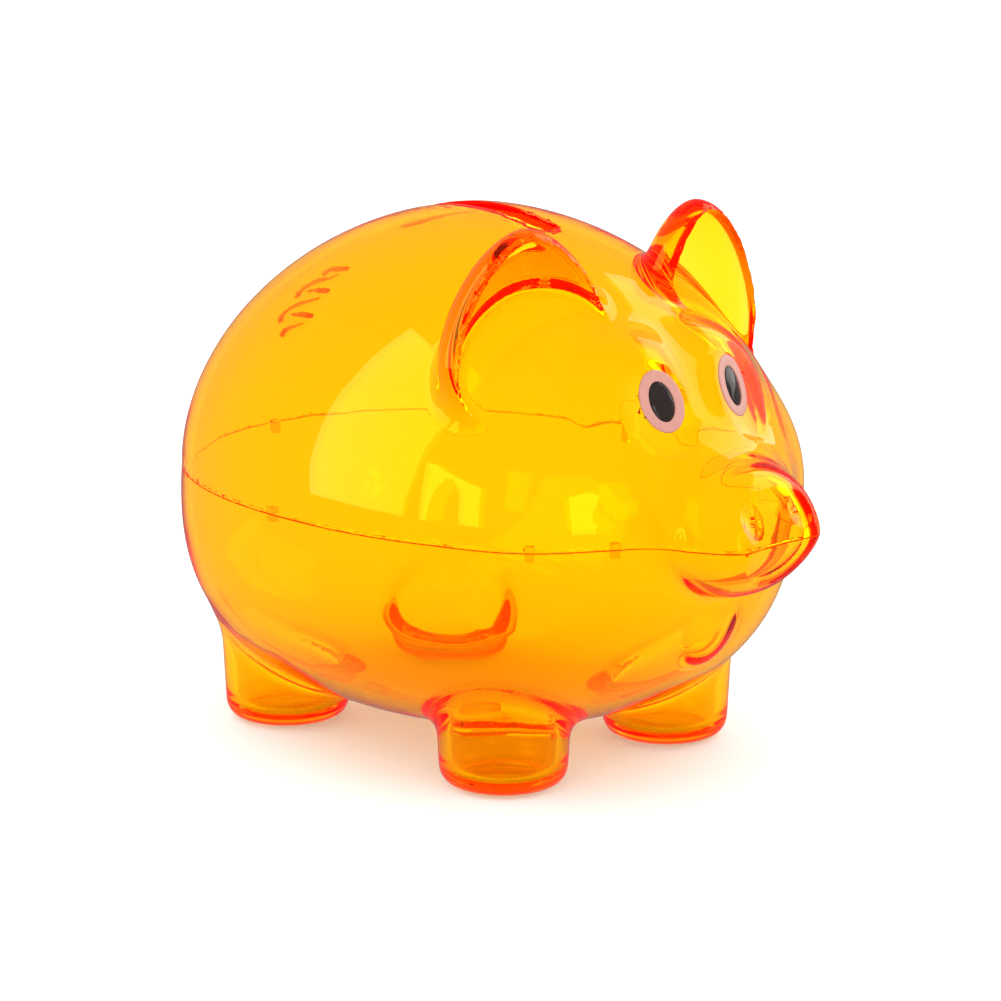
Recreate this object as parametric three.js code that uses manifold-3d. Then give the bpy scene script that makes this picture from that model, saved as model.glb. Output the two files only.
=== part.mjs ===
// A hollow pig-shaped money bank moulded as two thin translucent shells.
// Millimetres. +Z is up, the pig faces -Y, its left is +X, and its feet stand on z = 0.
// The finished group's origin lies midway between snout and rump; the dimensions below are
// measured from the middle of the four feet.

import * as THREE from 'three';
import { mergeVertices } from 'three/addons/utils/BufferGeometryUtils.js';
import Module from 'manifold-3d';

const wasm = await Module();
wasm.setup();

// ---------------------------------------------------------------- driving dimensions

const WALL = 2.0;
const GAP = 0.3;

const SEAM_Z = 43.2;
const BODY_Y = -2.5;
const BODY_HALF_WIDTH = 43.6;
const BODY_HALF_LENGTH = 54.7;
const PLAN_POWER = 2.17;
const DOME_HEIGHT = 44.9;
const DOME_POWER = 1.86;
const BELLY_DEPTH = 38.6;
const BELLY_POWER = 2.65;
const BELLY_LEAN = 3.2;

const BROW = { x: 8, y: -40.9, z: 62.5, halfX: 9.5, halfY: 8.4, halfZ: 10, blend: 5 };
const CHEEK = { x: 22.3, y: -32.2, z: 44.5, halfX: 13.4, halfY: 15, halfZ: 16.5, blend: 4 };

const SNOUT_FRONT_Y = -67.8;
const SNOUT_BACK_Y = -42;
const SNOUT_Z = 44;
const SNOUT_HALF_WIDTH = 10.4;
const SNOUT_HALF_HEIGHT = 10.7;
const SNOUT_OUTLINE_POWER = 2.3;
const SNOUT_EDGE_POWER = 6;
const SNOUT_FLARE = 0.4;
const SNOUT_LEAN = 0.45;
const LIP_LEAN = 0.6;
const NOSTRIL = { x: 5.3, z: 47.5, halfWidth: 2.4, halfHeight: 3.1, depth: 0.8 };

const CHIN = { y: -49.7, z: 30.5, halfX: 7.4, halfY: 5, halfZ: 10 };

const EAR = { x: 19.4, y: -30.8, z: 69.1, halfX: 15.6, halfZ: 20.9, front: 8.1, back: 8.1 };
const EAR_POWER = 1.68;
const EAR_TURN = 11;
const SCOOP = { forward: 3.4, halfX: 14.1, halfZ: 19.4, front: 12, back: 10 };

const FOOT_X = 18.9;
const FOOT_Y = 25.75;
const FOOT_RADIUS = 10.2;
const FOOT_TOP_RADIUS = 11.2;
const FOOT_TOP_Z = 20;
const FOOT_EDGE = 1.2;
const FOOT_FLOOR = 1.8;

const SLOT_LENGTH = 34.5;
const SLOT_WIDTH = 4.4;
const SLOT_Y = -0.5;

const TAIL_START = { y: 36, z: 73.5 };
const TAIL_END = { y: 46.2, z: 60.5 };
const TAIL_WIGGLE = 3.4;
const TAIL_WAVES = 2.5;
const TAIL_RADIUS = 1.1;

const TAB_WIDTH = 1.4;
const TAB_DROP = 1.8;
const TAB_RISE = 2;
const TAB_THICKNESS = 1;
const TAB_CLEARANCE = 0.5;
const TAB_ANGLES = [0, 82, 143, 158, 202, 217, 278];

const EYE_X = 8.3;
const EYE_Z = 64.3;
const EYE_HALF_WIDTH = 3.95;
const EYE_HALF_HEIGHT = 4.75;
const PUPIL_HALF_WIDTH = 2.2;
const PUPIL_HALF_HEIGHT = 3.1;
const EYE_THICKNESS = 0.5;
const EYE_DISTANCE = 52.7;

const BODY_AROUND = 44;
const BODY_DOWN = 28;
const DETAIL_AROUND = 20;
const DETAIL_DOWN = 14;
const FOOT_AROUND = 24;

// The middle of the body on the seam, where every ray that finds its surface starts.
const CENTRE = new THREE.Vector3(0, BODY_Y, SEAM_Z);

// The middle of the whole length, from snout to rump.
const ORIGIN_Y = -7.55;

const PLASTIC = { color: 0xffa800, roughness: 0.06, metalness: 0 };
const EYE_WHITE = { color: 0xf6cfc8, roughness: 0.35, metalness: 0 };
const EYE_BLACK = { color: 0x17110f, roughness: 0.15, metalness: 0 };

// ---------------------------------------------------------------- the shape as a formula

// Joins two distance values with a rounded crease of about the given width.
function smoothMin(a, b, width) {
  const overlap = Math.max(width - Math.abs(a - b), 0) / width;
  return Math.min(a, b) - (overlap * overlap * width) / 4;
}

// Distance from an ellipsoid's surface, negative inside it.
function ellipsoidField(point, form, side) {
  const x = point.x - form.x * side;
  const y = point.y - form.y;
  const z = point.z - form.z;
  const length = Math.hypot(x, y, z);
  const reach = Math.hypot(x / form.halfX, y / form.halfY, z / form.halfZ);
  return reach === 0 ? -form.halfY : length * (1 - 1 / reach);
}

// Distance from the egg of the body: a dome over the seam and a flatter belly below it.
function eggField(point) {
  const z = point.z - SEAM_Z;
  const height = z >= 0 ? DOME_HEIGHT : BELLY_DEPTH;
  const power = z >= 0 ? DOME_POWER : BELLY_POWER;
  const level = Math.abs(z / height);
  const lean = z >= 0 ? 0 : BELLY_LEAN * level;
  const x = point.x;
  const y = point.y - BODY_Y - lean;
  const across = Math.abs(x / BODY_HALF_WIDTH) ** PLAN_POWER;
  const along = Math.abs(y / BODY_HALF_LENGTH) ** PLAN_POWER;
  const plan = (across + along) ** (1 / PLAN_POWER);
  const reach = (plan ** power + level ** power) ** (1 / power);
  return Math.hypot(x, y, z) * (1 - 1 / Math.max(reach, 1e-6));
}

// Distance from the whole body, with the brows over the eyes and the cheeks.
function bodyField(point) {
  let distance = eggField(point);
  for (const side of [-1, 1]) {
    distance = smoothMin(distance, ellipsoidField(point, BROW, side), BROW.blend);
    distance = smoothMin(distance, ellipsoidField(point, CHEEK, side), CHEEK.blend);
  }
  return distance;
}

// The point where a ray from the body's centre passes through a layer at the given offset.
function surfacePoint(direction, offset) {
  let near = 0;
  let far = 2 * BODY_HALF_LENGTH;
  const point = new THREE.Vector3();
  for (let halving = 0; halving < 40; halving += 1) {
    const middle = (near + far) / 2;
    point.copy(direction).multiplyScalar(middle).add(CENTRE);
    if (bodyField(point) > offset) far = middle;
    else near = middle;
  }
  return point;
}

// ---------------------------------------------------------------- solids and booleans

function toSolid(geometry) {
  const bare = geometry.index ? geometry.toNonIndexed() : geometry.clone();
  bare.deleteAttribute('normal');
  bare.deleteAttribute('uv');
  const merged = mergeVertices(bare, 1e-4);
  const vertProperties = new Float32Array(merged.attributes.position.array);
  const triVerts = new Uint32Array(merged.index.array);
  return new wasm.Manifold(new wasm.Mesh({ numProp: 3, vertProperties, triVerts }));
}

function toMesh(name, solid, finish) {
  const { vertProperties, triVerts } = solid.getMesh();
  const geometry = new THREE.BufferGeometry();
  geometry.setAttribute('position', new THREE.BufferAttribute(vertProperties, 3));
  geometry.setIndex(new THREE.BufferAttribute(triVerts, 1));
  geometry.computeVertexNormals();
  const mesh = new THREE.Mesh(geometry, new THREE.MeshStandardMaterial(finish));
  mesh.name = name;
  return mesh;
}

// Moves every vertex of a geometry to where the given function puts it.
function reshape(geometry, move) {
  const positions = geometry.attributes.position;
  const point = new THREE.Vector3();
  for (let index = 0; index < positions.count; index += 1) {
    point.fromBufferAttribute(positions, index);
    const moved = move(point);
    positions.setXYZ(index, moved.x, moved.y, moved.z);
  }
  return geometry;
}

function box(width, length, height, x, y, z) {
  return toSolid(new THREE.BoxGeometry(width, length, height).translate(x, y, z));
}

// A ball whose poles lie on the vertical axis.
function ball(around, down) {
  return new THREE.SphereGeometry(1, around, down).rotateX(Math.PI / 2);
}

// The body's outside at offset 0, or the inside of its wall at a negative offset.
function bodySolid(offset) {
  const place = (point) => surfacePoint(point.clone().normalize(), offset);
  return toSolid(reshape(ball(BODY_AROUND, BODY_DOWN), place));
}

// The snout: an upright oval with a rounded front edge, leaning back above the seam.
function snoutSolid(inset) {
  const halfDepth = (SNOUT_BACK_Y - SNOUT_FRONT_Y) / 2 - inset;
  const halfWidth = SNOUT_HALF_WIDTH - inset;
  const halfHeight = SNOUT_HALF_HEIGHT - inset;
  const middleY = (SNOUT_BACK_Y + SNOUT_FRONT_Y) / 2;
  const place = (point) => {
    const across = Math.abs(point.x / halfWidth) ** SNOUT_OUTLINE_POWER;
    const upright = Math.abs(point.z / halfHeight) ** SNOUT_OUTLINE_POWER;
    const outline = (across + upright) ** (SNOUT_EDGE_POWER / SNOUT_OUTLINE_POWER);
    const depth = Math.abs(point.y / halfDepth) ** SNOUT_EDGE_POWER;
    const moved = point.clone().divideScalar((outline + depth) ** (1 / SNOUT_EDGE_POWER));
    moved.y += middleY;
    moved.z += SNOUT_Z;
    moved.x *= 1 + (SNOUT_FLARE * (moved.y - SNOUT_FRONT_Y)) / SNOUT_HALF_WIDTH;
    moved.y += SNOUT_LEAN * Math.max(moved.z - SEAM_Z, 0);
    moved.y += LIP_LEAN * Math.max(SEAM_Z - moved.z, 0);
    return moved;
  };
  return toSolid(reshape(new THREE.SphereGeometry(1, 26, 18), place));
}

function nostril(side) {
  const dimple = new THREE.SphereGeometry(1, DETAIL_AROUND, DETAIL_DOWN);
  dimple.scale(NOSTRIL.halfWidth, NOSTRIL.depth, NOSTRIL.halfHeight);
  const y = SNOUT_FRONT_Y + SNOUT_LEAN * (NOSTRIL.z - SEAM_Z);
  dimple.rotateX(Math.atan(SNOUT_LEAN));
  return toSolid(dimple.translate(side * NOSTRIL.x, y, NOSTRIL.z));
}

function chin() {
  const pad = new THREE.SphereGeometry(1, DETAIL_AROUND, DETAIL_DOWN);
  pad.scale(CHIN.halfX, CHIN.halfY, CHIN.halfZ);
  return toSolid(pad.translate(0, CHIN.y, CHIN.z));
}

// A closed form whose upright outline is an oval with a pointed tip.
function earForm(form) {
  const place = (point) => {
    const across = Math.abs(point.x / form.halfX) ** EAR_POWER;
    const upright = Math.abs(point.z / form.halfZ) ** EAR_POWER;
    const depth = point.y / (point.y < 0 ? form.front : form.back);
    return point.clone().divideScalar(Math.hypot((across + upright) ** (1 / EAR_POWER), depth));
  };
  return toSolid(reshape(ball(DETAIL_AROUND, DETAIL_DOWN), place));
}

// An ear: an upright oval cup, open to the front and turned a little outward.
function ear(side) {
  const scoop = earForm(SCOOP).translate(0, -SCOOP.forward, 0);
  const cup = earForm(EAR).subtract(scoop).rotate([0, 0, side * EAR_TURN]);
  return cup.translate(side * EAR.x, EAR.y, EAR.z);
}

// A foot's outside: a short cup that widens upwards and has a rounded bottom edge.
function footOutside(x, y) {
  const profile = new THREE.Path();
  profile.moveTo(0, 0);
  profile.lineTo(FOOT_RADIUS - FOOT_EDGE, 0);
  profile.absarc(FOOT_RADIUS - FOOT_EDGE, FOOT_EDGE, FOOT_EDGE, -Math.PI / 2, 0, false);
  profile.lineTo(FOOT_TOP_RADIUS, FOOT_TOP_Z);
  profile.lineTo(0, FOOT_TOP_Z);
  return turned(profile).translate(x, y, 0);
}

// A foot's hollow, open at the top into the belly.
function footHollow(x, y) {
  const profile = new THREE.Path();
  profile.moveTo(0, FOOT_FLOOR);
  profile.lineTo(FOOT_RADIUS - WALL, FOOT_FLOOR);
  profile.lineTo(FOOT_TOP_RADIUS - WALL, FOOT_TOP_Z);
  profile.lineTo(0, FOOT_TOP_Z);
  return turned(profile).translate(x, y, 0);
}

function turned(profile) {
  const lathe = new THREE.LatheGeometry(profile.getPoints(4), FOOT_AROUND);
  return toSolid(lathe.rotateX(Math.PI / 2));
}

// ---------------------------------------------------------------- details of the shells

// The coin slot runs along the back and has round ends.
function coinSlot() {
  const radius = SLOT_WIDTH / 2;
  const straight = SLOT_LENGTH / 2 - radius;
  const outline = new THREE.Shape();
  outline.absarc(0, straight, radius, 0, Math.PI, false);
  outline.absarc(0, -straight, radius, Math.PI, 2 * Math.PI, false);
  const cutter = new THREE.ExtrudeGeometry(outline, {
    depth: DOME_HEIGHT, bevelEnabled: false, curveSegments: 8,
  });
  return toSolid(cutter.translate(0, SLOT_Y, SEAM_Z + DOME_HEIGHT / 2));
}

// A curly tail in relief, winding down the middle of the rump.
function tail() {
  const points = [];
  const count = 20;
  for (let index = 0; index <= count; index += 1) {
    const share = index / count;
    const y = THREE.MathUtils.lerp(TAIL_START.y, TAIL_END.y, share);
    const z = THREE.MathUtils.lerp(TAIL_START.z, TAIL_END.z, share);
    const sway = TAIL_WIGGLE * Math.sin(share * TAIL_WAVES * 2 * Math.PI);
    const outward = new THREE.Vector3(sway, y, z).sub(CENTRE).normalize();
    points.push(surfacePoint(outward, 0));
  }
  const section = new THREE.Shape();
  section.absarc(0, 0, TAIL_RADIUS, 0, 2 * Math.PI, false);
  return toSolid(new THREE.ExtrudeGeometry(section, {
    steps: 40, curveSegments: 4, extrudePath: new THREE.CatmullRomCurve3(points),
  }));
}

// The inside of the wall level with the snap tabs' lower ends, at an angle measured from the
// rear towards the left.
function insideOfWall(degrees) {
  const angle = THREE.MathUtils.degToRad(degrees);
  const drop = -TAB_DROP / BODY_HALF_LENGTH;
  const outward = new THREE.Vector3(Math.sin(angle), Math.cos(angle), drop);
  return surfacePoint(outward.normalize(), -WALL);
}

// A snap tab: fused to the upper wall, then hanging clear just inside the lower wall.
function snapTab(degrees) {
  const foot = insideOfWall(degrees);
  const along = insideOfWall(degrees + 1).sub(insideOfWall(degrees - 1));
  const turn = THREE.MathUtils.radToDeg(Math.atan2(along.y, along.x));
  const rootDepth = TAB_THICKNESS + TAB_CLEARANCE + WALL / 2;
  const root = new THREE.BoxGeometry(TAB_WIDTH, rootDepth, TAB_RISE);
  root.translate(0, WALL / 2 - rootDepth / 2, GAP / 2 + TAB_RISE / 2);
  const hook = new THREE.BoxGeometry(TAB_WIDTH, TAB_THICKNESS, TAB_DROP + TAB_RISE);
  hook.translate(0, -TAB_CLEARANCE - TAB_THICKNESS / 2, GAP / 2 + (TAB_RISE - TAB_DROP) / 2);
  const solid = toSolid(root).add(toSolid(hook));
  return solid.rotate([0, 0, turn]).translate(foot.x, foot.y, SEAM_Z);
}

// ---------------------------------------------------------------- the two shells

function headAndBody() {
  let solid = bodySolid(0).add(snoutSolid(0)).add(chin());
  for (const side of [-1, 1]) solid = solid.add(ear(side)).subtract(nostril(side));
  return solid;
}

function cavity() {
  return bodySolid(-WALL).add(snoutSolid(WALL));
}

// Everything above or below the seam, half the gap clear of it.
function halfSpace(above) {
  const size = 4 * BODY_HALF_LENGTH;
  const offset = (size + GAP) / 2;
  return box(size, size, size, 0, 0, SEAM_Z + (above ? offset : -offset));
}

function upperShell() {
  let solid = headAndBody().add(tail()).intersect(halfSpace(true));
  solid = solid.subtract(cavity()).subtract(coinSlot());
  for (const degrees of TAB_ANGLES) solid = solid.add(snapTab(degrees));
  return solid;
}

function lowerShell() {
  let outside = headAndBody();
  let inside = cavity();
  for (const x of [-FOOT_X, FOOT_X]) {
    for (const y of [-FOOT_Y, FOOT_Y]) {
      outside = outside.add(footOutside(x, y));
      inside = inside.add(footHollow(x, y));
    }
  }
  return outside.intersect(halfSpace(false)).subtract(inside);
}

// ---------------------------------------------------------------- the eyes

function ovalPath(Type, halfWidth, halfHeight) {
  const oval = new Type();
  oval.absellipse(0, 0, halfWidth, halfHeight, 0, 2 * Math.PI, false, 0);
  return oval;
}

// Bends a flat plate onto the face around an eye's middle, a gap's width above the surface.
function layOnFace(outline, side) {
  const plate = new THREE.ExtrudeGeometry(outline, {
    depth: EYE_THICKNESS, bevelEnabled: false, curveSegments: 14,
  });
  const place = (point) => {
    const outward = new THREE.Vector3(side * EYE_X + point.x, 0, EYE_Z + point.y - SEAM_Z);
    outward.y = -Math.sqrt(EYE_DISTANCE ** 2 - outward.lengthSq());
    return surfacePoint(outward.normalize(), GAP + point.z);
  };
  return toSolid(reshape(plate, place));
}

function eyeRing(side) {
  const outline = ovalPath(THREE.Shape, EYE_HALF_WIDTH, EYE_HALF_HEIGHT);
  outline.holes.push(ovalPath(THREE.Path, PUPIL_HALF_WIDTH + GAP, PUPIL_HALF_HEIGHT + GAP));
  return layOnFace(outline, side);
}

function pupil(side) {
  return layOnFace(ovalPath(THREE.Shape, PUPIL_HALF_WIDTH, PUPIL_HALF_HEIGHT), side);
}

// ---------------------------------------------------------------- the assembly

const pig = new THREE.Group();
pig.position.y = -ORIGIN_Y;
pig.add(toMesh('lower_shell', lowerShell(), PLASTIC));
pig.add(toMesh('upper_shell', upperShell(), PLASTIC));
for (const [sideName, side] of [['right', -1], ['left', 1]]) {
  pig.add(toMesh(`eye_white_${sideName}`, eyeRing(side), EYE_WHITE));
  pig.add(toMesh(`pupil_${sideName}`, pupil(side), EYE_BLACK));
}

export default pig;
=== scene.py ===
"""The looks of a translucent orange piggy bank: two moulded half shells and its eyes."""

import math

import bpy
import numpy as np
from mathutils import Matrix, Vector


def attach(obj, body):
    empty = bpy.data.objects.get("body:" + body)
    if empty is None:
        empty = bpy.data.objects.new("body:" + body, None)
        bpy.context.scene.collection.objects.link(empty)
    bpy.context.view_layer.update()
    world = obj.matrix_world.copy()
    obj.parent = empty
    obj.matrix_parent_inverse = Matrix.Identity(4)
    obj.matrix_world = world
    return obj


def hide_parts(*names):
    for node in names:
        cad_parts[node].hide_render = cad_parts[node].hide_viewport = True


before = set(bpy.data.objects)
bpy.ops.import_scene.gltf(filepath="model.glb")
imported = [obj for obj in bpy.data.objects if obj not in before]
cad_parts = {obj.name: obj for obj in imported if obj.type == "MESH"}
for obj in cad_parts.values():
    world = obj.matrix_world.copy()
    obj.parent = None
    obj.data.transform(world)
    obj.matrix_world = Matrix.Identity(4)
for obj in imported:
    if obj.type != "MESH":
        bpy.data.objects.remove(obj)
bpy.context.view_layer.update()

# ---------------------------------------------------------------- driving dimensions
# Millimetres. The pig faces -Y and its feet stand on z = 0. Shapes are measured from the middle
# of the four feet, and ORIGIN_Y is where the frame's own origin lies along that line.

ORIGIN_Y = -7.55
METRES_PER_MM = 0.001

WALL = 2.0
GAP = 0.15
SEAM_Z = 43.2

BODY_Y = -2.5
BODY_HALF_WIDTH = 43.6
BODY_HALF_LENGTH = 54.7
PLAN_POWER = 2.17
DOME_HEIGHT = 44.9
DOME_POWER = 1.86
BELLY_DEPTH = 38.6
BELLY_POWER = 2.65
BELLY_LEAN = 3.2

BROW = {"at": (8, -40.9, 62.5), "half": (9.5, 8.4, 10)}
BROW_BLEND = 5
CHEEK = {"at": (22.3, -32.2, 44.5), "half": (13.4, 15, 16.5)}
CHEEK_BLEND = 4

SNOUT_FRONT_Y = -67.8
SNOUT_BACK_Y = -42
SNOUT_Z = 44
SNOUT_HALF_WIDTH = 10.4
SNOUT_HALF_HEIGHT = 10.7
SNOUT_OUTLINE_POWER = 2.3
SNOUT_EDGE_POWER = 6
SNOUT_FLARE = 0.4
SNOUT_LEAN = 0.45
LIP_LEAN = 0.6
TIP_ROUND = 1.5
LIP_BLEND = 2.2
SNOUT_TOP_BLEND = 6
SOFTENING_STARTS_ABOVE_SEAM = 3

FOLD_YS = (-60.2, -55.6)
FOLD_HEIGHT = 0.3
FOLD_LENGTH = 1.5
FOLD_FADE_BELOW = 2

SNOUT_DISH_RADIUS = 7.6
SNOUT_DISH_DEPTH = 0.8
SNOUT_DISH_EDGE = 1
NOSTRIL_X = 5.3
NOSTRIL_Z = 47.5
NOSTRIL_HALF = (2.3, 1.3, 3.0)

CHIN = {"at": (0, -49.7, 30.5), "half": (7.4, 5, 10)}
CHIN_BLEND = 1.5

EAR_AT = (19.4, -30.8, 69.1)
EAR_HALF = (15.6, 8.1, 20.9)
EAR_TURN = math.radians(11)
EAR_POWER = 1.68
SCOOP_HALF = (14.1, 10, 19.4)
SCOOP_FORWARD = 3.4
EAR_EDGE = 0.9
EAR_BLEND = 2.4

FOOT_X = 18.9
FOOT_Y = 25.75
FOOT_RADIUS = 10.2
FOOT_TOP_RADIUS = 11.2
FOOT_TOP_Z = 20
FOOT_FLOOR = 1.8
FOOT_EDGE = 1.6
FOOT_BLEND = 3.2
FOOT_HOLLOW_BLEND = 1.5

SLOT_LENGTH = 34.5
SLOT_WIDTH = 4.4
SLOT_Y = -0.5
SLOT_EDGE = 0.6

TAIL_START = (36, 73.5)
TAIL_END = (46.2, 60.5)
TAIL_WIGGLE = 3.4
TAIL_WAVES = 2.5
TAIL_RADIUS = 1.1
TAIL_SINK = 0.2
TAIL_BLEND = 1.2
TAIL_STEPS = 40

TAB_HALF = (0.7, 0.55)
TAB_DROP = 1.7
TAB_RISE = 0.5
TAB_CLEARANCE = 0.3
TAB_ANGLES = (0, 82, 143, 158, 202, 217, 278)

EYE_X = 8.3
EYE_Z = 64.3
EYE_HALF = (3.85, 4.65)
PUPIL_HALF = (2.15, 3.0)
EYE_DISTANCE = 52.7
EYE_TURN = math.radians(10)
EYE_THICKNESS = 0.35
PUPIL_CROWN = 0.25
EYE_STEPS_AROUND = 64
SOCKET_HALF = (8.2, 1.6, 9.4)
SOCKET_DEPTH = 1.25
SOCKET_BLEND = 1.0

# An eye plate's section: how far in from its outer edge, as a share, and how high.
PLATE_PROFILE = ((0, -0.2), (0.04, 0.1), (0.15, 0.22), (0.5, 0.3), (0.85, 0.3))
PLATE_INNER_EDGE = ((0.97, 0.26), (1, 0.1), (1, -0.2))
PROFILE_TOP = 0.3

# The grid that the shells are contoured on, and what counts as smooth there.
CELL = 0.72
COARSE_STEP = 4
PULL_TO_MIDDLE = 0.02
SMOOTH_AGREEMENT = 0.97
NORMAL_AGREEMENT = 0.9
SHARP_ANGLE = math.radians(35)

# A distance that is well off every surface.
FAR = 20.0


# ---------------------------------------------------------------- the shape as a formula
# Each field takes coordinates and gives about the distance to a surface, negative inside it.

def smooth_min(a, b, width):
    overlap = np.maximum(width - np.abs(a - b), 0) / width
    return np.minimum(a, b) - overlap * overlap * width / 4


def smooth_max(a, b, width):
    return -smooth_min(-a, -b, width)


def ellipsoid(x, y, z, half):
    length = np.sqrt(x * x + y * y + z * z)
    reach = np.sqrt((x / half[0]) ** 2 + (y / half[1]) ** 2 + (z / half[2]) ** 2)
    return length * (1 - 1 / np.maximum(reach, 1e-6))


def placed_ellipsoid(x, y, z, form, side=1):
    at = form["at"]
    return ellipsoid(x - side * at[0], y - at[1], z - at[2], form["half"])


def egg(x, y, z):
    """A dome over the seam and a flatter belly below it."""
    z = z - SEAM_Z
    above = z >= 0
    level = np.abs(z) / np.where(above, DOME_HEIGHT, BELLY_DEPTH)
    power = np.where(above, DOME_POWER, BELLY_POWER)
    y = y - BODY_Y - np.where(above, 0, BELLY_LEAN * level)
    plan = np.abs(x / BODY_HALF_WIDTH) ** PLAN_POWER + np.abs(y / BODY_HALF_LENGTH) ** PLAN_POWER
    reach = (plan ** (power / PLAN_POWER) + level**power) ** (1 / power)
    return np.sqrt(x * x + y * y + z * z) * (1 - 1 / np.maximum(reach, 1e-6))


def body(x, y, z):
    distance = egg(x, y, z)
    for side in (-1, 1):
        distance = smooth_min(distance, placed_ellipsoid(x, y, z, BROW, side), BROW_BLEND)
    return smooth_min(distance, placed_ellipsoid(np.abs(x), y, z, CHEEK), CHEEK_BLEND)


def eye_sockets(x, y, z):
    """Shallow dishes in the face around the eyes."""
    at = (np.abs(x) - SOCKET_AT[0], y - SOCKET_AT[1], z - SOCKET_AT[2])
    across, outward, up = (sum(axis[i] * at[i] for i in range(3)) for axis in SOCKET_AXES)
    return ellipsoid(across, outward, up, SOCKET_HALF)


def unlean(x, y, z):
    """Takes the snout's lean and taper out of the coordinates."""
    rise = z - SEAM_Z
    bend = np.sqrt(rise * rise + TIP_ROUND**2) - TIP_ROUND
    y = y - SNOUT_LEAN * (bend + rise) / 2 - LIP_LEAN * (bend - rise) / 2
    behind_front = np.clip(y, SNOUT_FRONT_Y, SNOUT_BACK_Y) - SNOUT_FRONT_Y
    x = x / (1 + SNOUT_FLARE * behind_front / SNOUT_HALF_WIDTH)
    return x, y, z - SNOUT_Z


def snout(x, y, z, inset=0):
    """An upright oval with a rounded front edge, which leans back above the seam."""
    x, y, z = unlean(x, y, z)
    folds = sum(np.exp(-(((y - fold) / FOLD_LENGTH) ** 2)) for fold in FOLD_YS)
    y = y - (SNOUT_BACK_Y + SNOUT_FRONT_Y) / 2
    half_depth = (SNOUT_BACK_Y - SNOUT_FRONT_Y) / 2 - inset
    outline = (
        np.abs(x / (SNOUT_HALF_WIDTH - inset)) ** SNOUT_OUTLINE_POWER
        + np.abs(z / (SNOUT_HALF_HEIGHT - inset)) ** SNOUT_OUTLINE_POWER
    )
    depth = np.abs(y / half_depth) ** SNOUT_EDGE_POWER
    reach = (outline ** (SNOUT_EDGE_POWER / SNOUT_OUTLINE_POWER) + depth) ** (1 / SNOUT_EDGE_POWER)
    distance = np.sqrt(x * x + y * y + z * z) * (1 - 1 / np.maximum(reach, 1e-6))
    above = 1 / (1 + np.exp(-z - FOLD_FADE_BELOW))
    return distance - FOLD_HEIGHT * folds * above


def snout_face(x, y, z):
    """The shallow dish in the snout's front and the nostrils in it."""
    x, y, z = unlean(x, y, z)
    dish = ellipsoid(
        x, y - SNOUT_FRONT_Y, z, (SNOUT_DISH_RADIUS, SNOUT_DISH_DEPTH, SNOUT_DISH_RADIUS)
    )
    nostril = ellipsoid(
        np.abs(x) - NOSTRIL_X, y - SNOUT_FRONT_Y, z + SNOUT_Z - NOSTRIL_Z, NOSTRIL_HALF
    )
    return smooth_min(dish, nostril, SNOUT_DISH_EDGE)


def ear_form(x, y, z, half):
    outline = np.abs(x / half[0]) ** EAR_POWER + np.abs(z / half[2]) ** EAR_POWER
    reach = np.sqrt(outline ** (2 / EAR_POWER) + (y / half[1]) ** 2)
    return np.sqrt(x * x + y * y + z * z) * (1 - 1 / np.maximum(reach, 1e-6))


def ear(x, y, z):
    """An upright oval cup with a pointed tip, open to the front."""
    x = np.abs(x) - EAR_AT[0]
    y = y - EAR_AT[1]
    z = z - EAR_AT[2]
    turned_x = x * math.cos(EAR_TURN) + y * math.sin(EAR_TURN)
    turned_y = y * math.cos(EAR_TURN) - x * math.sin(EAR_TURN)
    outside = ear_form(turned_x, turned_y, z, EAR_HALF)
    scoop = ear_form(turned_x, np.maximum(turned_y + SCOOP_FORWARD, 0), z, SCOOP_HALF)
    return smooth_max(outside, -scoop, EAR_EDGE)


def foot(x, y, z, inset, floor):
    """A round foot that widens upwards, with a rounded bottom edge."""
    radius = FOOT_RADIUS + (FOOT_TOP_RADIUS - FOOT_RADIUS) * z / FOOT_TOP_Z - inset
    across = np.sqrt((np.abs(x) - FOOT_X) ** 2 + (np.abs(y) - FOOT_Y) ** 2) - radius
    upright = np.maximum(floor - z, z - FOOT_TOP_Z)
    return smooth_max(across, upright, 2 * FOOT_EDGE)


def coin_slot(x, y, z):
    """A slot along the back with round ends."""
    straight = (SLOT_LENGTH - SLOT_WIDTH) / 2
    past_end = np.maximum(np.abs(y - SLOT_Y) - straight, 0)
    across = np.sqrt(x * x + past_end * past_end) - SLOT_WIDTH / 2
    return np.maximum(across, SEAM_Z + DOME_HEIGHT / 2 - z)


def tail(x, y, z):
    """A curly tail in relief down the middle of the rump."""
    x, y, z = np.broadcast_arrays(x, y, z)
    distance = np.full(x.shape, FAR)
    margin = 8
    near = (np.abs(x) < TAIL_WIGGLE + margin) & (y > TAIL_START[0] - margin) & (z > TAIL_END[1] - margin)
    points = np.stack([x[near], y[near], z[near]], axis=-1)
    closest = np.full(len(points), FAR)
    for start, end in zip(TAIL_PATH[:-1], TAIL_PATH[1:]):
        step = end - start
        share = np.clip((points - start) @ step / (step @ step), 0, 1)
        nearest = start + share[:, None] * step
        closest = np.minimum(closest, np.linalg.norm(points - nearest, axis=1))
    distance[near] = closest - TAIL_RADIUS
    return distance


def between(value, low, high):
    return np.abs(value - (low + high) / 2) - (high - low) / 2


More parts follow.
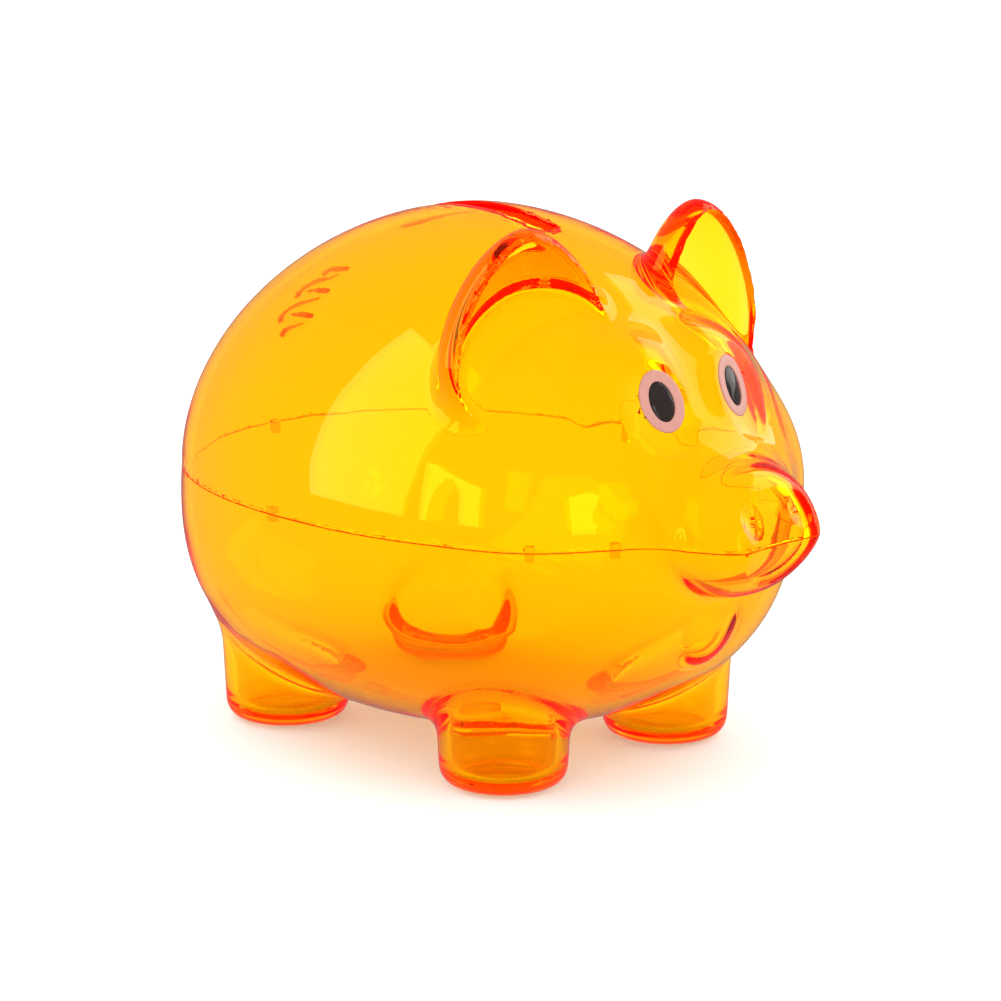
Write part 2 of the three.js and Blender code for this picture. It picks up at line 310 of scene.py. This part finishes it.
def tab(x, y, z, middle, along):
    """One snap tab: a hook that hangs just inside the lower wall and a root in the upper wall."""
    sideways = np.abs((x - middle[0]) * along[0] + (y - middle[1]) * along[1]) - TAB_HALF[0]
    inwards = (x - middle[0]) * -along[1] + (y - middle[1]) * along[0]
    inner_face = TAB_CLEARANCE + 2 * TAB_HALF[1]
    hook = np.maximum(between(inwards, TAB_CLEARANCE, inner_face), between(z, -TAB_DROP, TAB_RISE))
    root = np.maximum(between(inwards, -inner_face, inner_face), between(z, GAP / 2, GAP / 2 + TAB_RISE))
    return np.maximum(np.minimum(hook, root), sideways)


def tabs(x, y, z):
    """The snap tabs around the seam."""
    x, y, z = np.broadcast_arrays(x, y, z)
    distance = np.full(x.shape, FAR)
    near = np.abs(z - SEAM_Z) < TAB_DROP + 2
    x, y, z = x[near], y[near], z[near] - SEAM_Z
    closest = np.full(len(x), FAR)
    for middle, along in TAB_PLACES:
        closest = np.minimum(closest, tab(x, y, z, middle, along))
    distance[near] = closest
    return distance


def snout_blend(z):
    """The crease around the snout is sharp at the lip and soft at the top."""
    above = z - SEAM_Z - SOFTENING_STARTS_ABOVE_SEAM
    return LIP_BLEND + (SNOUT_TOP_BLEND - LIP_BLEND) / (1 + np.exp(-above))


def face_surface(x, y, z):
    return smooth_max(body(x, y, z), -eye_sockets(x, y, z), SOCKET_BLEND)


def head_and_body(x, y, z):
    distance = smooth_min(face_surface(x, y, z), snout(x, y, z), snout_blend(z))
    distance = smooth_min(distance, placed_ellipsoid(x, y, z, CHIN), CHIN_BLEND)
    distance = smooth_max(distance, -snout_face(x, y, z), SNOUT_DISH_EDGE)
    return smooth_min(distance, ear(x, y, z), EAR_BLEND)


def cavity(x, y, z):
    hollow = smooth_min(body(x, y, z) + WALL, snout(x, y, z, WALL), snout_blend(z))
    return smooth_min(hollow, placed_ellipsoid(x, y, z, CHIN) + WALL, CHIN_BLEND)


def upper_shell(x, y, z):
    distance = smooth_min(head_and_body(x, y, z), tail(x, y, z), TAIL_BLEND)
    distance = np.maximum(distance, -cavity(x, y, z))
    distance = smooth_max(distance, -coin_slot(x, y, z), SLOT_EDGE)
    distance = np.maximum(distance, SEAM_Z + GAP / 2 - z)
    return np.minimum(distance, tabs(x, y, z))


def lower_shell(x, y, z):
    distance = smooth_min(head_and_body(x, y, z), foot(x, y, z, 0, 0), FOOT_BLEND)
    hollow = smooth_min(cavity(x, y, z), foot(x, y, z, WALL, FOOT_FLOOR), FOOT_HOLLOW_BLEND)
    return np.maximum(np.maximum(distance, -hollow), z - SEAM_Z + GAP / 2)


def surface_point(direction, offset, field=body):
    """Where a ray from the body's middle passes through a layer at the given offset."""
    centre = np.array([0, BODY_Y, SEAM_Z])
    near, far = 0.0, 2 * BODY_HALF_LENGTH
    for _ in range(40):
        middle = (near + far) / 2
        if field(*(centre + middle * direction)) > offset:
            far = middle
        else:
            near = middle
    return centre + middle * direction


def unit(vector):
    return np.asarray(vector, float) / np.linalg.norm(vector)


def eye_direction(across, up):
    """The direction from the body's middle to a point of the left eye."""
    x = EYE_X + across
    z = EYE_Z + up - SEAM_Z
    return unit((x, -math.sqrt(EYE_DISTANCE**2 - x * x - z * z), z))


def turned_outward(axis):
    """A direction at the left eye, turned about the upright by the angle that the eyes look outward."""
    x, y, z = axis
    return np.array((
        x * math.cos(EYE_TURN) - y * math.sin(EYE_TURN),
        y * math.cos(EYE_TURN) + x * math.sin(EYE_TURN),
        z,
    ))


def eye_axes():
    """The left eye's own axes: across the face, outward and up."""
    shifts = ((-2, 0), (2, 0), (0, -2), (0, 2))
    corners = [surface_point(eye_direction(*shift), 0) for shift in shifts]
    across = unit(corners[1] - corners[0])
    outward = unit(np.cross(across, corners[3] - corners[2]))
    return [turned_outward(axis) for axis in (across, outward, np.cross(outward, across))]


def tail_path():
    points = []
    for share in np.linspace(0, 1, TAIL_STEPS + 1):
        y = TAIL_START[0] + share * (TAIL_END[0] - TAIL_START[0])
        z = TAIL_START[1] + share * (TAIL_END[1] - TAIL_START[1])
        sway = TAIL_WIGGLE * math.sin(share * TAIL_WAVES * 2 * math.pi)
        points.append(surface_point(unit((sway, y - BODY_Y, z - SEAM_Z)), -TAIL_SINK))
    return np.array(points)


def inside_of_wall(degrees):
    """A point on the inside of the wall, at an angle from the rear towards the left."""
    angle = math.radians(degrees)
    drop = -TAB_DROP / BODY_HALF_LENGTH
    return surface_point(unit((math.sin(angle), math.cos(angle), drop)), -WALL)


def tab_place(degrees):
    """A tab's middle and the direction along the wall there."""
    along = inside_of_wall(degrees - 1) - inside_of_wall(degrees + 1)
    return inside_of_wall(degrees), unit(along[:2])


SOCKET_AXES = eye_axes()
SOCKET_LIFT = (SOCKET_HALF[1] - SOCKET_DEPTH) * SOCKET_AXES[1]
SOCKET_AT = surface_point(eye_direction(0, 0), 0) + SOCKET_LIFT
TAIL_PATH = tail_path()
TAB_PLACES = [tab_place(degrees) for degrees in TAB_ANGLES]


# ---------------------------------------------------------------- a field made into a mesh

def field_and_slope(field, points):
    """The field's value and gradient at points, from four samples around each."""
    corners = np.array([(1, -1, -1), (-1, -1, 1), (-1, 1, -1), (1, 1, 1)])
    step = 0.01
    value = 0
    slope = 0
    for corner in corners:
        sample = field(*(points + step * corner).T)
        value = value + sample / 4
        slope = slope + sample[:, None] * corner / (4 * step)
    return value, slope


def crossings(field, start, direction, values):
    """The points where the field passes zero on short edges, by false position."""
    low, high = np.zeros(len(start)), np.ones(len(start))
    low_value, high_value = values
    for _ in range(3):
        share = low + (high - low) * low_value / (low_value - high_value)
        sample = field(*(start + share[:, None] * direction).T)
        same = np.sign(sample) == np.sign(low_value)
        low, low_value = np.where(same, share, low), np.where(same, sample, low_value)
        high, high_value = np.where(same, high, share), np.where(same, high_value, sample)
    share = low + (high - low) * low_value / (low_value - high_value)
    return start + share[:, None] * direction


def corner_solution(points, normals, owner, count):
    """For each cell, the point that lies nearest to all its tangent planes."""
    def total(values):
        return np.bincount(owner, values, count)

    number = total(np.ones(len(owner)))
    middle = np.stack([total(points[:, i]) for i in range(3)], axis=1) / number[:, None]
    spread = np.empty((count, 3, 3))
    offset = np.empty((count, 3))
    along = np.einsum("ij,ij->i", normals, points - middle[owner])
    for i in range(3):
        offset[:, i] = total(normals[:, i] * along)
        for j in range(3):
            spread[:, i, j] = total(normals[:, i] * normals[:, j])
    spread += PULL_TO_MIDDLE * number[:, None, None] * np.eye(3)
    mean = np.stack([total(normals[:, i]) for i in range(3)], axis=1)
    agreement = np.linalg.norm(mean, axis=1) / number
    return middle + np.linalg.solve(spread, offset[:, :, None])[:, :, 0], agreement


def grid_values(field, axes):
    """The field on a grid, worked out finely only near the surface."""
    x, y, z = np.meshgrid(*[axis[::COARSE_STEP] for axis in axes], indexing="ij", sparse=True)
    values = field(x, y, z)
    for i, axis in enumerate(axes):
        nearest = (np.arange(len(axis)) + COARSE_STEP // 2) // COARSE_STEP
        values = np.take(values, np.minimum(nearest, values.shape[i] - 1), axis=i)
    i, j, k = np.nonzero(np.abs(values) < 2 * COARSE_STEP * CELL)
    values[i, j, k] = field(axes[0][i], axes[1][j], axes[2][k])
    return values


def cells_around(index, axis, cells):
    """The four cells that share each grid edge, in order around it."""
    around = []
    for back_b, back_c in ((1, 1), (0, 1), (0, 0), (1, 0)):
        cell = index.copy()
        cell[:, (axis + 1) % 3] -= back_b
        cell[:, (axis + 2) % 3] -= back_c
        around.append(np.ravel_multi_index(cell.T, cells))
    return np.stack(around, axis=1)


def crossed_edges(field, axes, values, axis):
    """Grid edges along one axis that the surface crosses: their quads, crossings and normals."""
    first = np.moveaxis(values, axis, 0)[:-1]
    second = np.moveaxis(values, axis, 0)[1:]
    where = np.argwhere((first < 0) != (second < 0))
    pick = tuple(where.T)
    index = np.insert(where[:, 1:], axis, where[:, 0], axis=1)
    start = np.stack([axes[i][index[:, i]] for i in range(3)], axis=1)
    step = CELL * np.eye(3)[axis]
    crossing = crossings(field, start, step, (first[pick], second[pick]))
    slope = field_and_slope(field, crossing)[1]
    slope /= np.linalg.norm(slope, axis=1, keepdims=True)
    quads = cells_around(index, axis, np.array(values.shape) - 1)
    inwards = first[pick] >= 0
    quads[inwards] = quads[inwards][:, ::-1]
    return quads, crossing, slope


def settled(field, points, smooth):
    """Moves the smooth points onto the surface and gives their normals."""
    for _ in range(2):
        value, slope = field_and_slope(field, points[smooth])
        points[smooth] -= (value / (slope**2).sum(axis=1))[:, None] * slope
    normals = np.zeros_like(points)
    normals[smooth] = slope / np.linalg.norm(slope, axis=1, keepdims=True)
    return points, normals


def contour(field, lowest, highest):
    """A closed mesh of quads where the field is zero: points, quads and point normals."""
    axes = [np.arange(low, high + CELL, CELL) for low, high in zip(lowest, highest)]
    values = grid_values(field, axes)
    edges = [crossed_edges(field, axes, values, axis) for axis in range(3)]
    quads, crossing, slope = (np.concatenate(part) for part in zip(*edges))
    used, owner = np.unique(quads.ravel(), return_inverse=True)
    planes = np.repeat(crossing, 4, axis=0), np.repeat(slope, 4, axis=0)
    corner, agreement = corner_solution(*planes, owner, len(used))
    position = np.unravel_index(used, np.array(values.shape) - 1)
    low = np.stack([axis[number] for axis, number in zip(axes, position)], axis=1)
    corner = np.clip(corner, low, low + CELL)
    corner, normal = settled(field, corner, agreement > SMOOTH_AGREEMENT)
    return corner, np.searchsorted(used, quads), normal


def to_metres(points):
    return (np.asarray(points, float) - (0, ORIGIN_Y, 0)) * METRES_PER_MM


def mesh_object(name, points, faces):
    mesh = bpy.data.meshes.new(name)
    mesh.from_pydata(to_metres(points).tolist(), [], faces)
    mesh.shade_smooth()
    made = bpy.data.objects.new(name, mesh)
    bpy.context.scene.collection.objects.link(made)
    return made


def shell_object(name, field, lowest, highest):
    """A shell's mesh, shaded with the field's own normals except at sharp edges."""
    points, quads, normals = contour(field, lowest, highest)
    made = mesh_object(name, points, quads.tolist())
    mesh = made.data
    mesh.set_sharp_from_angle(angle=SHARP_ANGLE)
    corners = np.empty(len(mesh.loops) * 3)
    mesh.corner_normals.foreach_get("vector", corners)
    corners = corners.reshape(-1, 3)
    known = normals[quads.ravel()]
    close = (known * corners).sum(axis=1) > NORMAL_AGREEMENT
    corners[close] = known[close]
    mesh.normals_split_custom_set(corners.tolist())
    return made


upper = shell_object("upper_shell_look", upper_shell, (-46, -70, 39), (46, 55, 92))
lower = shell_object("lower_shell_look", lower_shell, (-46, -70, -2), (46, 55, 45))


# ---------------------------------------------------------------- the eyes

def eye_point(across, up, side, height):
    point = surface_point(eye_direction(across, up), height, face_surface)
    return point * (side, 1, 1)


def eye_ring_points(outer, inner, side, crown, profile):
    """Ovals that run from the plate's outer edge inwards, each at its own height."""
    points = []
    for share, height in profile:
        half_x = outer[0] + share * (inner[0] - outer[0])
        half_y = outer[1] + share * (inner[1] - outer[1])
        lift = height * EYE_THICKNESS / PROFILE_TOP + crown * share
        for step in range(EYE_STEPS_AROUND):
            angle = 2 * math.pi * step / EYE_STEPS_AROUND
            across, up = half_x * math.cos(angle), half_y * math.sin(angle)
            points.append(eye_point(across, up, side, lift))
    return points


def band_faces(lower, upper):
    """Quads between two ovals of points."""
    around = EYE_STEPS_AROUND
    faces = []
    for step in range(around):
        after = (step + 1) % around
        faces.append((
            lower * around + step, lower * around + after,
            upper * around + after, upper * around + step,
        ))
    return faces


def eye_plate(name, outer, inner, side, crown):
    """An oval plate, or a ring with a hole in it, laid on the face with rounded edges."""
    profile = PLATE_PROFILE + (PLATE_INNER_EDGE if inner else ())
    points = eye_ring_points(outer, inner or (0, 0), side, crown, profile)
    count = len(profile)
    faces = []
    for ring in range(count - 1):
        faces += band_faces(ring, ring + 1)
    if inner:
        faces += band_faces(count - 1, 0)
    else:
        around = EYE_STEPS_AROUND
        faces.append(list(range((count - 1) * around, count * around)))
        faces.append(list(range(around))[::-1])
    if side > 0:
        faces = [face[::-1] for face in faces]
    return mesh_object(name, points, faces)


eyes = []
for side_name, side in (("right", -1), ("left", 1)):
    ring = eye_plate(f"eye_ring_{side_name}", EYE_HALF, PUPIL_HALF, side, 0)
    dot = eye_plate(f"eye_dot_{side_name}", PUPIL_HALF, None, side, PUPIL_CROWN)
    eyes.append((side_name, ring, dot))


# ---------------------------------------------------------------- materials
# Colours are linear. Noise scales are in waves per metre, and the bump height is in metres.

PLASTIC_TINT = (1, 0.75, 0.5, 1)
PLASTIC_MIRROR_TINT = (1, 0.85, 0.02, 1)
PLASTIC_DEPTH_TINT = (0.9998, 0.94, 0.0, 1)
PLASTIC_DEPTH_DENSITY = 1400
PLASTIC_IOR = 1.5
PLASTIC_ROUGHNESS = (0.01, 0.05)
PLASTIC_HAZE_SCALE = 60
PLASTIC_WAVE_SCALE = 45
PLASTIC_WAVE_HEIGHT = 0.00015

VINYL_COLOURS = ((0.54, 0.24, 0.19, 1), (0.6, 0.28, 0.23, 1))
VINYL_COLOUR_SCALE = 900
VINYL_ROUGHNESS = (0.3, 0.45)
VINYL_ROUGHNESS_SCALE = 700

INK_COLOURS = ((0.012, 0.008, 0.007, 1), (0.03, 0.02, 0.018, 1))
INK_COLOUR_SCALE = 1200
INK_ROUGHNESS = (0.08, 0.16)
INK_ROUGHNESS_SCALE = 500
NOISE_DETAIL = 2


def new_material(name):
    material = bpy.data.materials.new(name)
    material.use_nodes = True
    tree = material.node_tree
    return material, tree, tree.nodes["Principled BSDF"]


def noise(tree, scale):
    place = tree.nodes.new("ShaderNodeTexCoord")
    texture = tree.nodes.new("ShaderNodeTexNoise")
    texture.inputs["Scale"].default_value = scale
    texture.inputs["Detail"].default_value = NOISE_DETAIL
    tree.links.new(place.outputs["Object"], texture.inputs["Vector"])
    return texture.outputs["Fac"]


def mapped(tree, value, low, high):
    span = tree.nodes.new("ShaderNodeMapRange")
    span.inputs["To Min"].default_value = low
    span.inputs["To Max"].default_value = high
    tree.links.new(value, span.inputs["Value"])
    return span.outputs["Result"]


def bumped(tree, value, distance, shader):
    bump = tree.nodes.new("ShaderNodeBump")
    bump.inputs["Strength"].default_value = 1
    bump.inputs["Distance"].default_value = distance
    tree.links.new(value, bump.inputs["Height"])
    tree.links.new(bump.outputs["Normal"], shader.inputs["Normal"])


def roughened(tree, scale, span, shader):
    rough = mapped(tree, noise(tree, scale), *span)
    tree.links.new(rough, shader.inputs["Roughness"])


def mottled(tree, scale, colours, shader):
    """A base colour that wanders between two close colours."""
    blend = tree.nodes.new("ShaderNodeMix")
    blend.data_type = "RGBA"
    blend.inputs["A"].default_value = colours[0]
    blend.inputs["B"].default_value = colours[1]
    tree.links.new(noise(tree, scale), blend.inputs["Factor"])
    tree.links.new(blend.outputs["Result"], shader.inputs["Base Color"])


def orange_plastic():
    """Clear polystyrene, tinted through its depth, with the faint waviness of a moulding."""
    material, tree, shader = new_material("orange_polystyrene")
    shader.inputs["Base Color"].default_value = PLASTIC_TINT
    shader.inputs["Transmission Weight"].default_value = 1
    shader.inputs["IOR"].default_value = PLASTIC_IOR
    shader.inputs["Specular Tint"].default_value = PLASTIC_MIRROR_TINT
    roughened(tree, PLASTIC_HAZE_SCALE, PLASTIC_ROUGHNESS, shader)
    bumped(tree, noise(tree, PLASTIC_WAVE_SCALE), PLASTIC_WAVE_HEIGHT, shader)
    tint = tree.nodes.new("ShaderNodeVolumeAbsorption")
    tint.inputs["Color"].default_value = PLASTIC_DEPTH_TINT
    tint.inputs["Density"].default_value = PLASTIC_DEPTH_DENSITY
    tree.links.new(tint.outputs["Volume"], tree.nodes["Material Output"].inputs["Volume"])
    return material


def eye_vinyl():
    """The pale ring, with a little unevenness in its colour."""
    material, tree, shader = new_material("eye_vinyl")
    mottled(tree, VINYL_COLOUR_SCALE, VINYL_COLOURS, shader)
    roughened(tree, VINYL_ROUGHNESS_SCALE, VINYL_ROUGHNESS, shader)
    return material


def eye_ink():
    """Glossy dark brown ink."""
    material, tree, shader = new_material("eye_ink")
    mottled(tree, INK_COLOUR_SCALE, INK_COLOURS, shader)
    roughened(tree, INK_ROUGHNESS_SCALE, INK_ROUGHNESS, shader)
    return material


plastic = orange_plastic()
vinyl = eye_vinyl()
ink = eye_ink()
for shell, body_name in ((upper, "upper_shell"), (lower, "lower_shell")):
    shell.data.materials.append(plastic)
    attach(shell, body_name)
    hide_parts(body_name)
for side_name, ring, dot in eyes:
    ring.data.materials.append(vinyl)
    dot.data.materials.append(ink)
    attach(ring, "upper_shell")
    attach(dot, "upper_shell")
    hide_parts(f"eye_white_{side_name}")
    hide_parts(f"pupil_{side_name}")


# ---------------------------------------------------------------- floor, light and camera
# Metres and degrees. Azimuth 0 is in front of the pig, and 90 is on its left.

TARGET_HEIGHT = 0.045
FLOOR_SIZE = 8
FLOOR_Z = -0.0004
FLOOR_COLOUR = (0.9, 0.9, 0.9, 1)
FLOOR_GLOW = 0.22
WHITE = (1, 1, 1, 1)
WORLD_STRENGTH = 1.5
WORLD_STRENGTH_IN_MIRRORS = 0.22
CAMERA_AZIMUTH = -44.5
CAMERA_ELEVATION = 13.5
CAMERA_DISTANCE = 0.642
CAMERA_LENS = 140
CAMERA_SHIFT = (0.0256, -0.0405)
LIGHT_BOUNCES = 128

# Each softbox has an azimuth, an elevation, a distance, a width, a height and a radiance.
SOFTBOXES = {
    "left_softbox": (-115, 28, 1.0, 0.62, 1.15, 3.4),
    "right_softbox": (75, 28, 1.0, 0.8, 0.8, 1.8),
    "front_strip": (-17, 8, 1.2, 0.15, 0.5, 4.5),
    "side_strip": (-89.5, 10, 1.2, 0.19, 0.5, 4.5),
}


def direction_at(azimuth, elevation):
    """The direction from the pig at an azimuth and an elevation."""
    a, e = math.radians(azimuth), math.radians(elevation)
    return Vector((math.sin(a) * math.cos(e), -math.cos(a) * math.cos(e), math.sin(e)))


def add_floor():
    """A plain white floor. It stays out of mirror reflections, so that the belly keeps its colour."""
    bpy.ops.mesh.primitive_plane_add(size=FLOOR_SIZE, location=(0, 0, FLOOR_Z))
    floor = bpy.context.object
    floor.name = "floor"
    material, _, shader = new_material("floor_white")
    shader.inputs["Base Color"].default_value = FLOOR_COLOUR
    shader.inputs["Emission Color"].default_value = WHITE
    shader.inputs["Emission Strength"].default_value = FLOOR_GLOW
    shader.inputs["Roughness"].default_value = 0.9
    shader.inputs["Specular IOR Level"].default_value = 0.1
    floor.data.materials.append(material)
    floor.visible_glossy = False


def add_world():
    """A white room, which is dimmer in mirror reflections than through the plastic."""
    world = bpy.data.worlds.new("studio")
    world.use_nodes = True
    tree = world.node_tree
    background = tree.nodes["Background"]
    background.inputs["Color"].default_value = WHITE
    ray = tree.nodes.new("ShaderNodeLightPath")
    mirrored = tree.nodes.new("ShaderNodeMath")
    mirrored.operation = "MULTIPLY"
    tree.links.new(ray.outputs["Is Reflection Ray"], mirrored.inputs[0])
    tree.links.new(ray.outputs["Is Glossy Ray"], mirrored.inputs[1])
    strength = mapped(tree, mirrored.outputs["Value"], WORLD_STRENGTH, WORLD_STRENGTH_IN_MIRRORS)
    tree.links.new(strength, background.inputs["Strength"])
    bpy.context.scene.world = world


def add_softbox(name, azimuth, elevation, distance, width, height, radiance):
    """A rectangular light that faces the pig and shows in its mirror reflections."""
    light = bpy.data.lights.new(name, "AREA")
    light.shape = "RECTANGLE"
    light.size = width
    light.size_y = height
    light.energy = radiance * math.pi * width * height
    lamp = bpy.data.objects.new(name, light)
    bpy.context.scene.collection.objects.link(lamp)
    away = direction_at(azimuth, elevation)
    lamp.location = Vector((0, 0, TARGET_HEIGHT)) + distance * away
    lamp.rotation_euler = away.to_track_quat("Z", "Y").to_euler()
    lamp.visible_camera = False
    lamp.visible_diffuse = False


def add_camera():
    """A view from the front right and a little above."""
    away = direction_at(CAMERA_AZIMUTH, CAMERA_ELEVATION)
    camera = bpy.data.cameras.new("camera")
    camera.lens = CAMERA_LENS
    camera.sensor_width = 36
    camera.shift_x, camera.shift_y = CAMERA_SHIFT
    camera.clip_start = 0.01
    holder = bpy.data.objects.new("camera", camera)
    bpy.context.scene.collection.objects.link(holder)
    holder.location = Vector((0, -ORIGIN_Y * METRES_PER_MM, TARGET_HEIGHT)) + CAMERA_DISTANCE * away
    holder.rotation_euler = away.to_track_quat("Z", "Y").to_euler()
    bpy.context.scene.camera = holder


add_floor()
add_world()
for box_name, values in SOFTBOXES.items():
    add_softbox(box_name, *values)
add_camera()
bpy.context.scene.view_settings.view_transform = "Standard"
bpy.context.scene.cycles.max_bounces = LIGHT_BOUNCES
bpy.context.scene.cycles.transmission_bounces = LIGHT_BOUNCES
bpy.context.scene.cycles.glossy_bounces = LIGHT_BOUNCES
